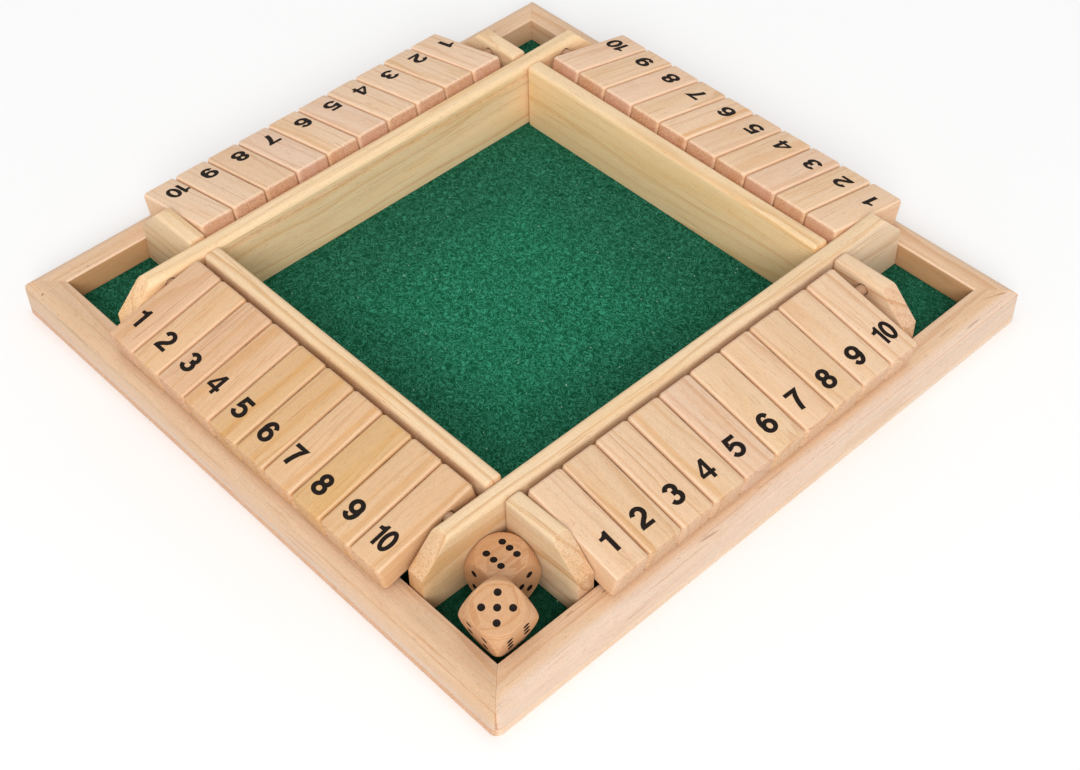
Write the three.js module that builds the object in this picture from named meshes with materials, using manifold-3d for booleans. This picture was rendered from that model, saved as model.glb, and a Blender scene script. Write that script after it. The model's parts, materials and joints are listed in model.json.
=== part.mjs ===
// Wooden number-flap dice game for four players, in millimetres, +Z up.
// The origin is the middle of the underside. Front is -Y, and each side is a quarter turn of the front.

import * as THREE from 'three';
import { mergeVertices } from 'three/addons/utils/BufferGeometryUtils.js';
import Module from 'manifold-3d';

const wasm = await Module();
wasm.setup();

// Numbered tiles
const tilesPerRow = 10;
const tileWidth = 12;
const tileLength = 35.1;
const tileThickness = 9.8;
const tileEdgeRound = 1.5;
const tileEndRound = 1.2;
const tileGap = 0.5;
const rowSlack = 2.05;
const rowShifts = { front: -1.7, right: -1.7, back: 1.6, left: -0.1 };

// Dowel rods and where they pass through the tiles and boards
const rodDiameter = 4;
const rodFromTileEnd = 10.3;
const rodBelowTileTop = 3.3;
const rodBelowBoardTop = 4.2;
const rodHoleDepth = 3.5;
const tileBoreClearance = 0.4;
const rodHoleClearance = 0.3;
const swingClearance = 0.15;

// Boards that stand on the felt
const boardThickness = 6;
const boardHeight = 24.5;
const boardRound = 1.8;
const boardEndRound = 1.4;
const boardClip = 10.1;

// Base, felt and frame rails
const baseThickness = 2.8;
const feltThickness = 1.4;
const railWidth = 10.6;
const railHeight = 9.8;
const railOuterRound = 4.5;
const railInnerRound = 0.5;
const cornerRound = 2.3;
const tileSetback = 3.1877;

// Two dice in one corner pocket
const dieSize = 15;
const dieBall = 20.8;
const dieWallGap = 0.4;
const dieOverhang = 0.35;
const dieLean = THREE.MathUtils.degToRad(20);

// Gaps between pieces, and the overrun of every cut
const fitGap = 0.3;
const jointGap = 0.2;
const cutOverrun = 1;

// Facets
const fineArcSegments = 3;
const tileArcSegments = 1;
const roundSides = 16;
const ballSides = 28;
const ballRings = 18;
const leanSteps = 90;

// Heights
const railTop = baseThickness + railHeight;
const feltTop = baseThickness + feltThickness;
const boardTop = feltTop + boardHeight;
const rodHeight = boardTop - rodBelowBoardTop;

// Distances from the middle of the box
const tilePitch = tileWidth + tileGap;
const trayHalf = (tilesPerRow * tilePitch - tileGap) / 2 + rowSlack;
const boardMiddle = trayHalf + boardThickness / 2;
const boardOuter = trayHalf + boardThickness;
const tileUnderRod = tileThickness - rodBelowTileTop;
const rodOut = boardOuter + Math.hypot(rodFromTileEnd, tileUnderRod) + swingClearance;

// Slope of a tile that lies on the rail: its rounded lower end edge clears the rail top by the gap
const tileReach = tileLength - rodFromTileEnd;
const endCentreReach = tileReach - tileEndRound;
const endCentreDrop = tileUnderRod - tileEndRound;
const endCentreFall = rodHeight - railTop - fitGap - tileEndRound;
const tileSlope = Math.asin(endCentreFall / Math.hypot(endCentreReach, endCentreDrop))
  - Math.atan2(endCentreDrop, endCentreReach);
const boxHalf = rodOut + tileReach * Math.cos(tileSlope) + tileSetback;
const openingHalf = boxHalf - railWidth;

// Directions that an outline is laid along: outline x, outline y and the way that it is extruded
const axisX = new THREE.Vector3(1, 0, 0);
const axisY = new THREE.Vector3(0, 1, 0);
const axisZ = new THREE.Vector3(0, 0, 1);
const sideView = new THREE.Matrix4().makeBasis(axisY, axisZ, axisX);
const endView = new THREE.Matrix4().makeBasis(axisX, axisZ, axisY.clone().negate());
const planView = new THREE.Matrix4();

// Wood, felt and dice colours
const looks = {
  rail: new THREE.MeshStandardMaterial({ color: 0xe8c8a0, roughness: 0.62, metalness: 0 }),
  board: new THREE.MeshStandardMaterial({ color: 0xdfb987, roughness: 0.6, metalness: 0 }),
  base: new THREE.MeshStandardMaterial({ color: 0xe3c7a4, roughness: 0.7, metalness: 0 }),
  felt: new THREE.MeshStandardMaterial({ color: 0x1c6446, roughness: 0.95, metalness: 0 }),
  rod: new THREE.MeshStandardMaterial({ color: 0xd9ad76, roughness: 0.6, metalness: 0 }),
  tile: new THREE.MeshStandardMaterial({ color: 0xecd0ac, roughness: 0.55, metalness: 0 }),
  die: new THREE.MeshStandardMaterial({ color: 0xc98a52, roughness: 0.5, metalness: 0 }),
};

function toSolid(geometry) {
  const bare = geometry.clone();
  bare.deleteAttribute('normal');
  bare.deleteAttribute('uv');
  const merged = mergeVertices(bare);
  return new wasm.Manifold(new wasm.Mesh({
    numProp: 3,
    vertProperties: new Float32Array(merged.attributes.position.array),
    triVerts: new Uint32Array(merged.index.array),
  }));
}

function toMesh(name, solid, material) {
  const { vertProperties, triVerts } = solid.getMesh();
  const geometry = new THREE.BufferGeometry();
  geometry.setAttribute('position', new THREE.BufferAttribute(vertProperties, 3));
  geometry.setIndex(new THREE.BufferAttribute(triVerts, 1));
  geometry.computeVertexNormals();
  const mesh = new THREE.Mesh(geometry, material.clone());
  mesh.name = name;
  return mesh;
}

function extruded(outline, depth, view, x, y, z, arcSegments) {
  const options = { depth, bevelEnabled: false, curveSegments: arcSegments };
  const geometry = new THREE.ExtrudeGeometry(outline, options);
  geometry.applyMatrix4(view);
  geometry.translate(x, y, z);
  return toSolid(geometry);
}

function roundBar(radius, length) {
  return new THREE.CylinderGeometry(radius, radius, length, roundSides);
}

// Rectangle with four round corners
function roundedRectangle(left, right, low, high, radius) {
  const outline = new THREE.Shape();
  outline.absarc(right - radius, low + radius, radius, -Math.PI / 2, 0);
  outline.absarc(right - radius, high - radius, radius, 0, Math.PI / 2);
  outline.absarc(left + radius, high - radius, radius, Math.PI / 2, Math.PI);
  outline.absarc(left + radius, low + radius, radius, Math.PI, Math.PI * 3 / 2);
  outline.closePath();
  return outline;
}

// Base panel and its felt
function basePanel() {
  const outline = roundedRectangle(-boxHalf, boxHalf, -boxHalf, boxHalf, cornerRound);
  const solid = extruded(outline, baseThickness, planView, 0, 0, 0, fineArcSegments);
  return toMesh('base_panel', solid, looks.base);
}

function feltLining() {
  const side = 2 * (openingHalf - fitGap);
  const solid = toSolid(new THREE.BoxGeometry(side, side, feltThickness));
  const mesh = toMesh('felt_lining', solid, looks.felt);
  mesh.position.z = baseThickness + feltThickness / 2;
  return mesh;
}

// Frame rail with mitred ends, seen from above: each end stops short of the corner's diagonal
function railPlan() {
  const back = jointGap / Math.SQRT2;
  const centre = boxHalf - cornerRound;
  const turn = Math.PI / 4 + Math.asin(back / Math.SQRT2 / cornerRound);
  const outline = new THREE.Shape();
  outline.moveTo(-(openingHalf - back), -openingHalf);
  outline.absarc(-centre, -centre, cornerRound, turn - Math.PI, -Math.PI / 2);
  outline.absarc(centre, -centre, cornerRound, -Math.PI / 2, -turn);
  outline.lineTo(openingHalf - back, -openingHalf);
  outline.closePath();
  return outline;
}

function railSection() {
  const outline = new THREE.Shape();
  const inner = -openingHalf - railInnerRound;
  outline.moveTo(-boxHalf, baseThickness);
  outline.lineTo(-openingHalf, baseThickness);
  outline.absarc(inner, railTop - railInnerRound, railInnerRound, 0, Math.PI / 2);
  outline.absarc(-boxHalf + railOuterRound, railTop - railOuterRound, railOuterRound, Math.PI / 2, Math.PI);
  outline.closePath();
  return outline;
}

function rail(side) {
  const plan = extruded(railPlan(), railHeight, planView, 0, 0, baseThickness, fineArcSegments);
  const bar = extruded(railSection(), 2 * boxHalf, sideView, -boxHalf, 0, 0, fineArcSegments);
  return toMesh(`rail_${side}`, plan.intersect(bar), looks.rail);
}

// Board with round top edges along X, its foot at zero height
function boardSection() {
  const half = boardThickness / 2;
  const outline = new THREE.Shape();
  outline.moveTo(-half, 0);
  outline.lineTo(half, 0);
  outline.absarc(half - boardRound, boardHeight - boardRound, boardRound, 0, Math.PI / 2);
  outline.absarc(boardRound - half, boardHeight - boardRound, boardRound, Math.PI / 2, Math.PI);
  outline.closePath();
  return outline;
}

function boardProfile(start, end, clips) {
  const outline = new THREE.Shape();
  const bend = boardHeight - boardEndRound;
  outline.moveTo(start, 0);
  outline.lineTo(end, 0);
  if (clips.end) {
    outline.lineTo(end, boardHeight - boardClip);
    outline.lineTo(end - boardClip, boardHeight);
  } else {
    outline.absarc(end - boardEndRound, bend, boardEndRound, 0, Math.PI / 2);
  }
  if (clips.start) {
    outline.lineTo(start + boardClip, boardHeight);
    outline.lineTo(start, boardHeight - boardClip);
  } else {
    outline.absarc(start + boardEndRound, bend, boardEndRound, Math.PI / 2, Math.PI);
  }
  outline.closePath();
  return outline;
}

// Seen from above, a clipped end is square and a butt end is rounded
function boardPlan(start, end, clips) {
  const half = boardThickness / 2;
  const side = half - boardEndRound;
  const outline = new THREE.Shape();
  if (clips.end) {
    outline.moveTo(end, -half);
    outline.lineTo(end, half);
  } else {
    outline.absarc(end - boardEndRound, -side, boardEndRound, -Math.PI / 2, 0);
    outline.absarc(end - boardEndRound, side, boardEndRound, 0, Math.PI / 2);
  }
  if (clips.start) {
    outline.lineTo(start, half);
    outline.lineTo(start, -half);
  } else {
    outline.absarc(start + boardEndRound, side, boardEndRound, Math.PI / 2, Math.PI);
    outline.absarc(start + boardEndRound, -side, boardEndRound, Math.PI, Math.PI * 3 / 2);
  }
  outline.closePath();
  return outline;
}

// A board is its outline from the side, cut to its section and to its plan
function board(start, end, clips) {
  const wide = endView.clone().premultiply(new THREE.Matrix4().makeTranslation(0, boardThickness / 2, 0));
  const profile = extruded(boardProfile(start, end, clips), boardThickness, wide, 0, 0, 0, fineArcSegments);
  const section = extruded(boardSection(), end - start, sideView, start, 0, 0, fineArcSegments);
  const plan = extruded(boardPlan(start, end, clips), boardHeight, planView, 0, 0, 0, fineArcSegments);
  return profile.intersect(section).intersect(plan);
}

// Blind hole for a rod end, along Y from a board's inner face
function rodHole(x, inward) {
  const hole = roundBar(rodDiameter / 2 + rodHoleClearance, rodHoleDepth + cutOverrun);
  const middle = boardThickness / 2 - rodHoleDepth / 2 + cutOverrun / 2;
  hole.translate(x, inward * middle, rodHeight - feltTop);
  return toSolid(hole);
}

function divider(side) {
  const end = openingHalf - fitGap;
  const blank = board(-end, end, { start: true, end: true });
  const solid = blank.subtract(rodHole(-rodOut, 1)).subtract(rodHole(rodOut, 1));
  const mesh = toMesh(`divider_${side}`, solid, looks.board);
  mesh.position.set(0, -boardMiddle, feltTop);
  return mesh;
}

function trayWall(side) {
  const half = trayHalf - jointGap;
  const mesh = toMesh(`tray_wall_${side}`, board(-half, half, { start: false, end: false }), looks.board);
  mesh.position.set(0, -boardMiddle, feltTop);
  return mesh;
}

// Short board between a divider and a rail, at the left (-1) or right (1) end of a row
function bracket(name, hand) {
  const blank = board(boardOuter + jointGap, openingHalf - fitGap, { start: false, end: true });
  const mesh = toMesh(`bracket_${name}`, blank.subtract(rodHole(rodOut, -hand)), looks.board);
  mesh.rotation.z = -Math.PI / 2;
  mesh.position.set(hand * boardMiddle, 0, feltTop);
  return mesh;
}

// Rod along X with both ends in their holes
function rod(side) {
  const bar = roundBar(rodDiameter / 2, 2 * (trayHalf + rodHoleDepth - fitGap));
  bar.rotateZ(Math.PI / 2);
  const mesh = toMesh(`rod_${side}`, toSolid(bar), looks.rod);
  mesh.position.set(0, -rodOut, rodHeight);
  return mesh;
}

// Tile about its rod: the long edges and the ends are rounded, and the bore just opens the top edges
function tileSolid() {
  const half = tileWidth / 2;
  const section = roundedRectangle(-half, half, -tileUnderRod, rodBelowTileTop, tileEdgeRound);
  const profile = roundedRectangle(-tileReach, rodFromTileEnd, -tileUnderRod, rodBelowTileTop, tileEndRound);
  const bore = roundBar(rodDiameter / 2 + tileBoreClearance, tileWidth + 2 * cutOverrun);
  bore.rotateZ(Math.PI / 2);
  const along = extruded(section, tileLength, endView, 0, rodFromTileEnd, 0, tileArcSegments);
  const across = extruded(profile, tileWidth, sideView, -half, 0, 0, tileArcSegments);
  return along.intersect(across).subtract(toSolid(bore));
}

function tile(side, number, solid) {
  const mesh = toMesh(`tile_${side}_${String(number).padStart(2, '0')}`, solid, looks.tile);
  const place = number - (tilesPerRow + 1) / 2;
  mesh.position.set(place * tilePitch + rowShifts[side], -rodOut, rodHeight);
  mesh.rotation.x = tileSlope;
  return mesh;
}

// Die: a cube with its corners and edges cut by a ball
function dieSolid() {
  const ball = new THREE.SphereGeometry(dieBall / 2, ballSides, ballRings);
  return toSolid(new THREE.BoxGeometry(dieSize, dieSize, dieSize)).intersect(toSolid(ball));
}

// How far the die reaches from its middle in a direction given in its own frame
function dieReach(direction) {
  const pulls = direction.toArray().map(Math.abs).sort((one, other) => other - one);
  let roomSquared = (dieBall / 2) ** 2;
  let reach = 0;
  pulls.forEach((pull, index) => {
    const share = pull / Math.max(Math.hypot(...pulls.slice(index)), Number.EPSILON);
    const step = Math.min(dieSize / 2, Math.sqrt(roomSquared) * share);
    reach += pull * step;
    roomSquared -= step ** 2;
  });
  return reach;
}

// Least height over a neighbour that lies a given way off, tried over all the slopes between them
function leastRise(offset, reachAt) {
  let rise = Infinity;
  for (let step = 1; step < leanSteps; step += 1) {
    const slope = step / leanSteps * Math.PI / 2;
    rise = Math.min(rise, (reachAt(slope) + fitGap - Math.cos(slope) * offset) / Math.sin(slope));
  }
  return rise;
}

// The flat die stands on the felt, and the leaning one lies on two rail edges and against the first
function dice() {
  const solid = dieSolid();
  const flat = toMesh('die_1', solid, looks.die);
  const flatPlace = boardOuter + dieWallGap + dieSize / 2;
  flat.position.set(-flatPlace, -flatPlace, feltTop + fitGap + dieSize / 2);

  const lean = new THREE.Quaternion().setFromAxisAngle(new THREE.Vector3(1, -1, 0).normalize(), dieLean);
  const unlean = lean.clone().invert();
  const leaningReach = (direction) => dieReach(direction.clone().applyQuaternion(unlean));
  const toRail = (slope) => new THREE.Vector3(-Math.cos(slope), 0, -Math.sin(slope));
  const toDie = (slope) => new THREE.Vector3(-Math.cos(slope), -Math.cos(slope), Math.SQRT2 * Math.sin(slope))
    .divideScalar(Math.SQRT2);
  const inset = dieSize / 2 - dieOverhang;
  const leaningPlace = openingHalf - inset;
  const overRail = railTop + leastRise(inset, (slope) => leaningReach(toRail(slope)));
  const overDie = flat.position.z + leastRise((leaningPlace - flatPlace) * Math.SQRT2,
    (slope) => dieReach(toDie(slope)) + leaningReach(toDie(slope).negate()));
  const leaning = toMesh('die_2', solid, looks.die);
  leaning.position.set(-leaningPlace, -leaningPlace, Math.max(overRail, overDie));
  leaning.quaternion.copy(lean);
  return [flat, leaning];
}

// Each side in the front's own frame, turned to its place
const game = new THREE.Group();
const tileShape = tileSolid();
['front', 'right', 'back', 'left'].forEach((side, quarter) => {
  const group = new THREE.Group();
  group.rotation.z = quarter * Math.PI / 2;
  group.add(rail(side), rod(side));
  for (let number = 1; number <= tilesPerRow; number += 1) {
    group.add(tile(side, number, tileShape));
  }
  if (side === 'front' || side === 'back') {
    const turned = side === 'front' ? 1 : -1;
    group.add(divider(side), bracket(`${side}_left`, -turned), bracket(`${side}_right`, turned));
  } else {
    group.add(trayWall(side));
  }
  game.add(group);
});
game.add(basePanel(), feltLining(), ...dice());

export default game;
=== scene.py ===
"""Wooden number-flap dice game for four players: its pieces, finishes and stage.

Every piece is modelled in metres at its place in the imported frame. Front is -Y, +Z is up, and each side
is a quarter turn of the front. Names that end in _mm or _MM, and all lengths in the finishes and in the
digits' outlines, are in millimetres.
"""

import json
import math
import random

import bmesh
import bpy
from bpy.props import FloatProperty, FloatVectorProperty, PointerProperty
from bpy.types import Operator, Panel, PropertyGroup
from mathutils import Matrix, Vector

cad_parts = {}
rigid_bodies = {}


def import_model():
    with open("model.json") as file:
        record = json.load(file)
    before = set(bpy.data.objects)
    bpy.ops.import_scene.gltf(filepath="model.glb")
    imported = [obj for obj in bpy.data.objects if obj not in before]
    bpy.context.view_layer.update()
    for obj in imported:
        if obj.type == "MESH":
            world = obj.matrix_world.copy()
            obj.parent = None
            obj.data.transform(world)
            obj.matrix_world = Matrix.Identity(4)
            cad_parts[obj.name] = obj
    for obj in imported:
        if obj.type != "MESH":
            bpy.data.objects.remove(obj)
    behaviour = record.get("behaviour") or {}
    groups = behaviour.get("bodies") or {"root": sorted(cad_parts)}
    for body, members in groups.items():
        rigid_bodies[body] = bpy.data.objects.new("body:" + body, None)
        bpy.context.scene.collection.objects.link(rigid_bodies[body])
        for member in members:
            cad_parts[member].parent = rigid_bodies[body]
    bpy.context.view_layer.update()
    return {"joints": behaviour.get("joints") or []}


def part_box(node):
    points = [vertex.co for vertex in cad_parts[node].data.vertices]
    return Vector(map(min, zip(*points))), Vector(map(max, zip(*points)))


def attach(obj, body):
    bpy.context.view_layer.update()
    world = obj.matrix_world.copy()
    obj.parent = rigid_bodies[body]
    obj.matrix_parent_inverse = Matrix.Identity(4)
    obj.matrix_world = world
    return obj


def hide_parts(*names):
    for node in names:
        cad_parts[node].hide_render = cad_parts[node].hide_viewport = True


bl_info = {
    "name": "Four-player flap game",
    "version": (1, 0, 0),
    "blender": (4, 5, 0),
    "location": "View3D > Sidebar > Flap game",
    "description": "Builds the pieces and finishes of a wooden number-flap dice game",
    "category": "Object",
}

bpy.ops.object.select_all(action="SELECT")
bpy.ops.object.delete()
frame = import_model()

MM = 0.001
SIDES = ("front", "right", "back", "left")
TILES_PER_ROW = 10
X, Y, Z = Vector((1, 0, 0)), Vector((0, 1, 0)), Vector((0, 0, 1))
STAY = Matrix.Identity(4)

JOINTS = {joint["name"]: joint for joint in frame["joints"]}
BASE_LOW, BASE_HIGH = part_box("base_panel")
FELT_LOW, FELT_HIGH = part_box("felt_lining")
RAIL_LOW, RAIL_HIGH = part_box("rail_front")
BOARD_LOW, BOARD_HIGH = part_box("divider_front")
TILE_LOW, TILE_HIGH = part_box("tile_front_01")
ROD_LOW, ROD_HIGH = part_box("rod_front")
ROD_Z = (ROD_LOW.z + ROD_HIGH.z) / 2
ROD_OUT = -(ROD_LOW.y + ROD_HIGH.y) / 2

EASE = 0.0003  # radius of most eased edges
MITRE_GAP = 0.000015  # kept free at each end of a rail
TILE_GAP = 0.0003  # between a resting tile and its rail
PIP_DEPTH = 0.00035

# Each tile's own wood: lightness, warmth and gold
TILE_TONES = {
    "front": [
        (0.03, -0.1, 0), (-0.02, 0.2, 0.1), (0.02, 0, 0), (0, 0.2, 0.1), (-0.01, -0.7, 0),
        (0.02, 0.4, 0.1), (0.05, -0.1, 0), (0, 0.2, 0.15), (0.03, 0, 0), (0.04, -0.1, 0),
    ],
    "right": [
        (0.02, 0, 0), (0, 0.2, 0.1), (0, -0.6, 0), (0, 0.1, 0.1), (-0.02, -0.2, 0.2),
        (0.03, 0, 0), (0, 0.1, 0.1), (0.02, -0.6, 0), (-0.02, 0.1, 0.2), (0, -0.5, 0),
    ],
    "back": [
        (0.04, -0.3, 0), (0.01, 0.1, 0), (0.03, 0, 0), (0.02, 0.1, 0), (0, -0.6, 0),
        (0.03, 0.1, 0), (0, -0.7, 0), (-0.04, -0.1, 0.55), (0.01, 0, 0.1), (0.04, 0, 0),
    ],
    "left": [
        (0, -0.6, 0), (0.04, 0, 0), (0, -0.6, 0), (0.02, -0.2, 0), (-0.02, 0.3, 0.25),
        (-0.02, 0.3, 0.25), (0.04, 0, 0), (-0.03, 0.6, 0.4), (0.02, 0.1, 0), (0.04, 0, 0),
    ],
}
# Painted light and shade on each whole row: how much lighter it is, and how much more golden its wood is
ROW_PAINTED_LIGHT_AND_GOLD = {"front": (0.0, 0.0), "right": (0.11, -0.2), "back": (0.1, -0.5), "left": (-0.05, 0.5)}

# Some tiles have a golden band (place across, width, strength)
# and some a thin dark line (place across, how far it runs from the inner end, strength)
TILE_BANDS_MM = {
    "front": {2: (-4.5, 1.6, 0.5), 4: (-3.6, 1.5, 0.6)},
    "right": {3: (-4.4, 1.6, 0.6), 4: (-2.5, 2.4, 0.6), 6: (-4.2, 1.3, 1.0)},
    "back": {2: (3.8, 1.6, 0.5), 6: (4.6, 1.2, 0.7)},
    "left": {
        4: (-3.2, 2.4, 0.7), 5: (0.6, 2.0, 0.5), 6: (1.8, 1.5, 0.6), 7: (3.6, 1.4, 0.8),
        9: (3.4, 1.6, 0.7), 10: (3.8, 1.2, 0.5),
    },
}
TILE_LINES_MM = {
    "front": {3: (-1.5, 20, 0.8), 7: (1.2, 12, 0.35)},
    "right": {2: (2.0, 24, 0.3), 7: (-1.0, 9, 0.6), 10: (1.6, 30, 0.4)},
    "back": {4: (-2.2, 30, 0.3), 6: (0.5, 4, 0.8), 9: (1.4, 33, 0.6), 10: (-2.6, 10, 0.5)},
    "left": {1: (2.8, 32, 0.5), 3: (-2.4, 32, 0.7), 7: (-0.6, 14, 0.5), 10: (4.6, 30, 0.3)},
}
UNMARKED = (0, 1, 0)

# Where each printed number sits on its tile: across from the tile's middle, and outward from the usual place
NUMBER_PLACES_MM = {
    "front": [
        (-0.2, -0.4), (-0.4, -0.4), (-0.8, 0.0), (-0.9, 0.0), (-1.4, -0.1),
        (-1.0, 0.2), (-0.9, 0.2), (-1.1, 0.6), (-0.5, 0.4), (0.4, 0.4),
    ],
    "right": [
        (-1.5, -1.2), (-1.1, 0.0), (-1.3, -0.3), (-0.6, 0.3), (-1.0, 0.0),
        (-1.0, 0.3), (-0.5, 0.1), (-0.4, 0.3), (-0.1, 0.7), (0.6, 0.9),
    ],
    "back": [
        (-2.8, -1.2), (-2.4, -0.7), (-1.9, -1.0), (-1.9, -0.9), (-2.2, -0.4),
        (-2.0, -0.9), (-1.5, -0.2), (-1.6, -0.1), (-1.8, 0.1), (-1.8, -0.1),
    ],
    "left": [
        (-2.0, -0.7), (-1.1, -0.4), (-1.6, -0.4), (-1.8, -0.7), (-1.6, -0.2),
        (-1.9, 0.0), (-2.3, 0.1), (-1.4, 1.1), (-1.0, 0.6), (-0.5, 1.0),
    ],
}
# The usual place, from a tile's inner end to the number's middle
NUMBER_FROM_END = 0.0256

# Each board's own wood: lightness, warmth and gold, then how much lighter and how much more golden
# its upright faces are than its top, each at the -X and the +X end; that lightness is painted light and shade
BOARD_TONES_AND_FACE_LIGHT = {
    "divider_front": (0.0, 0.15, -0.05, (-0.22, 0.05), (0.7, -1.3)),
    "divider_back": (0.0, 0.5, 0.1, (0.27, 0.27)),
    "tray_wall_right": (0.0, 0.5, 0.1, (0.21, 0.21), (0.3, 0.3)),
    "tray_wall_left": (0.0, 0.15, 0.0, (0.05, 0.05)),
    "bracket_front_right": (-0.04, -0.5, 0.0, (-0.08, -0.08)),
    "bracket_front_left": (-0.02, 0.1, 0.0, (-0.18, -0.18)),
}
OTHER_BOARD_TONE_AND_FACE_LIGHT = (0, 0.15, 0, (-0.08, -0.08))
RAIL_TONES = {"left": (-0.09, 0, 0)}


def length(name, description, metres):
    """A length that the user may change."""
    return FloatProperty(name=name, description=description, default=metres, unit="LENGTH")


def swatch(name, description, *parts):
    """A colour that the user may change."""
    return FloatVectorProperty(name=name, description=description, default=parts, subtype="COLOR", size=3)


class GameSizes(PropertyGroup):
    """Sizes of the wooden pieces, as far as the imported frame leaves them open."""

    tile_length: length("Tile length", "Length of a number tile", 0.0351)
    tile_thickness: length("Tile thickness", "Thickness of a number tile", 0.0098)
    tile_round: length("Tile edge round", "Radius of a tile's long edges", 0.001)
    tile_corner_round: length("Tile end round", "Radius of the edges round a tile's two ends", 0.0012)
    tile_foot_round: length("Tile foot round", "Radius of the lower edge that a tile rests on", 0.0012)
    rod_from_end: length("Rod from tile end", "Rod axis to the inner end of a tile", 0.0103)
    rod_below_top: length("Rod below tile top", "Rod axis to the top face of a tile", 0.0033)
    rod: length("Rod", "Diameter of a rod", 0.0034)
    bore: length("Tile bore", "Diameter of the hole through a tile", 0.0044)
    rod_hole: length("Rod hole", "Diameter of the blind holes in the boards", 0.004)
    rod_hole_depth: length("Rod hole depth", "Depth of the blind holes in the boards", 0.0035)
    board_round: length("Board edge round", "Radius of a long or short board's top edges", 0.0018)
    board_end_round: length("Board end round", "Radius round a board with a square end", 0.0015)
    board_clip: length("Board clip", "Leg of the slanted cut at a board's outer end", 0.0101)
    rail_outer_round: length("Rail outer round", "Radius of a rail's outer top edge", 0.0045)
    rail_inner_round: length("Rail inner round", "Radius of a rail's inner top edge", 0.0006)
    corner_round: length("Corner round", "Radius of the frame's upright corners", 0.0027)
    die: length("Die", "Distance between a die's flat faces", 0.015)
    die_ball: length("Die ball", "Diameter of the ball that rounds a die", 0.0208)
    die_lean: FloatProperty(
        name="Die lean", description="How far the second die leans", default=math.radians(20), subtype="ANGLE"
    )
    pip: length("Pip", "Diameter of a pip", 0.0021)
    pip_spacing: length("Pip spacing", "Distance between two pips in a row", 0.00287)
    digit_height: length("Digit height", "Height of a printed number", 0.0068)


class GameColours(PropertyGroup):
    """Colours of the woods, felt and print."""

    tile_wood: swatch("Tile wood", "Pale wood of the tiles", 0.74, 0.515, 0.335)
    rail_wood: swatch("Rail wood", "Wood of the outer rails", 0.73, 0.50, 0.325)
    board_wood: swatch("Board wood", "Wood of the inner boards", 0.83, 0.61, 0.385)
    base_wood: swatch("Base wood", "Raw wood of the base panel", 0.78, 0.6, 0.45)
    # Darker than the pale dowel wood: the colour holds painted shade for rods that sit in shadow
    rod_wood: swatch("Rod wood", "Wood of the dowel rods", 0.5, 0.31, 0.2)
    die_wood: swatch("Die wood", "Warm brown wood of the dice", 0.605, 0.345, 0.182)
    felt: swatch("Felt", "Dark green felt", 0.0035, 0.113, 0.0505)
    ink: swatch("Ink", "Near-black print", 0.014, 0.009, 0.007)


# ---------------------------------------------------------------- modelling


def alone(piece):
    """Makes a piece the only selected one, and the active one."""
    bpy.ops.object.select_all(action="DESELECT")
    piece.select_set(True)
    bpy.context.view_layer.objects.active = piece


def link(thing):
    """Puts a new object into the scene."""
    bpy.context.scene.collection.objects.link(thing)
    return thing


def added(primitive, name, **settings):
    """Adds a primitive with nothing else selected."""
    bpy.ops.object.select_all(action="DESELECT")
    primitive(**settings)
    piece = bpy.context.active_object
    piece.name = name
    return piece


def settle(piece):
    """Puts a piece's place, turn and size into its mesh."""
    alone(piece)
    bpy.ops.object.transform_apply(location=True, rotation=True, scale=True)
    return piece


def block(name, low, high):
    """Adds a closed box from its lowest to its highest corner."""
    piece = added(bpy.ops.mesh.primitive_cube_add, name, size=1, location=(Vector(low) + Vector(high)) / 2)
    piece.scale = Vector(high) - Vector(low)
    return settle(piece)


def bar(name, start, end, radius, sides=32):
    """Adds a round bar between two points."""
    make = bpy.ops.mesh.primitive_cylinder_add
    middle, run = (Vector(start) + Vector(end)) / 2, Vector(end) - Vector(start)
    turn = run.to_track_quat("Z", "Y").to_euler()
    return settle(added(
        make, name, vertices=sides, radius=radius, depth=run.length, location=middle, rotation=turn
    ))


def pick(piece, kind, test):
    """Goes into edit mode and selects the faces or edges that pass a test."""
    alone(piece)
    bpy.ops.object.mode_set(mode="EDIT")
    bpy.ops.mesh.select_mode(type=kind)
    bpy.ops.mesh.select_all(action="DESELECT")
    cage = bmesh.from_edit_mesh(piece.data)
    if kind == "FACE":
        for face in cage.faces:
            face.select_set(test(face.normal))
    else:
        for edge in cage.edges:
            edge.select_set(test(*(corner.co for corner in edge.verts)))
    cage.select_flush_mode()
    bmesh.update_edit_mesh(piece.data)


def leave_edit():
    """Goes back to object mode."""
    bpy.ops.object.mode_set(mode="OBJECT")


def all_faces(normal):
    """Test that every face passes."""
    return True


def near(one, other, slack=2e-5):
    """True if two lengths are the same but for rounding."""
    return abs(one - other) < slack


def on(**places):
    """Test of edges: both ends lie at the given x, y or z."""
    return lambda *ends: all(near(getattr(end, axis), place) for end in ends for axis, place in places.items())


def upright(one, other):
    """Test of edges: they run along Z."""
    return near(one.x, other.x) and near(one.y, other.y)


def round_edges(piece, radius, segments, test):
    """Rounds the edges that pass a test."""
    pick(piece, "EDGE", test)
    bpy.ops.mesh.bevel(offset=radius, offset_type="OFFSET", segments=segments, affect="EDGES", profile=0.5)
    leave_edit()


def slice_off(piece, point, outward):
    """Cuts off what lies outward of a plane and closes the cut."""
    pick(piece, "FACE", all_faces)
    bpy.ops.mesh.bisect(plane_co=point, plane_no=outward, use_fill=True, clear_outer=True)
    leave_edit()


def modify(piece, kind, **settings):
    """Puts a modifier on a piece and applies it."""
    modifier = piece.modifiers.new("step", kind)
    for key, value in settings.items():
        setattr(modifier, key, value)
    alone(piece)
    bpy.ops.object.modifier_apply(modifier=modifier.name)


def combine(piece, tool, operation):
    """Cuts, keeps or joins one piece with another, and drops the tool."""
    modify(piece, "BOOLEAN", solver="EXACT", operation=operation, object=tool)
    bpy.data.objects.remove(tool)
    return piece


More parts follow.
